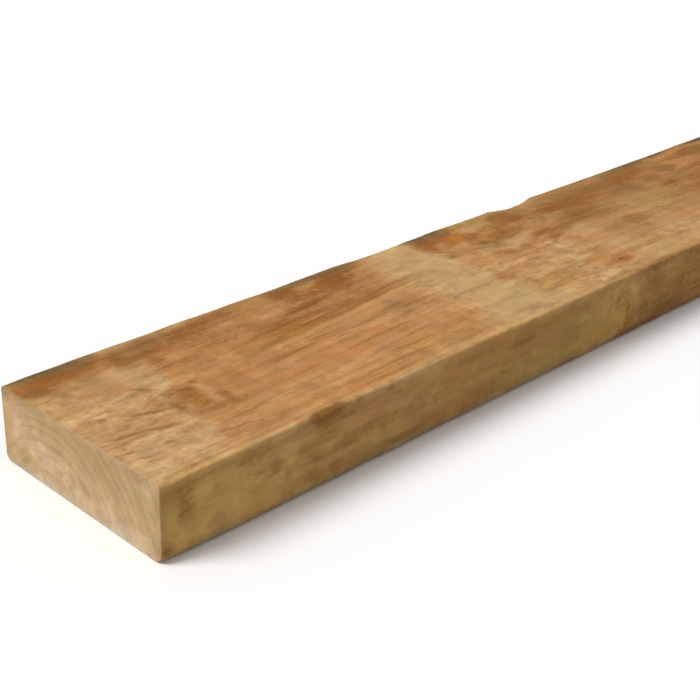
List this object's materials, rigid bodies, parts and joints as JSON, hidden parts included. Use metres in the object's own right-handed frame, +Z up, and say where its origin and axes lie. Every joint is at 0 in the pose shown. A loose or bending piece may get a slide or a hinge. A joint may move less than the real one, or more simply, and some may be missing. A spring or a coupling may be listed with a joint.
{
  "type": "timber fence rail",
  "caption": "Rough sawn softwood fence rail of oblong section, square cut at both ends, with worn arrises and one torn top edge.",
  "frame": {"origin": "middle of the underside of the rail, as it lies on its wide face", "axes": "+X along the grain from the near end to the far end, +Y from the front edge to the torn back edge, +Z up out of the top face"},
  "size_m": [2.4, 0.15, 0.05],
  "materials": {
    "timber": "rough sawn, untreated, with knots and brown stain"
  },
  "bodies": {
    "root": {"fence_rail": "timber"}
  },
  "joints": []
}
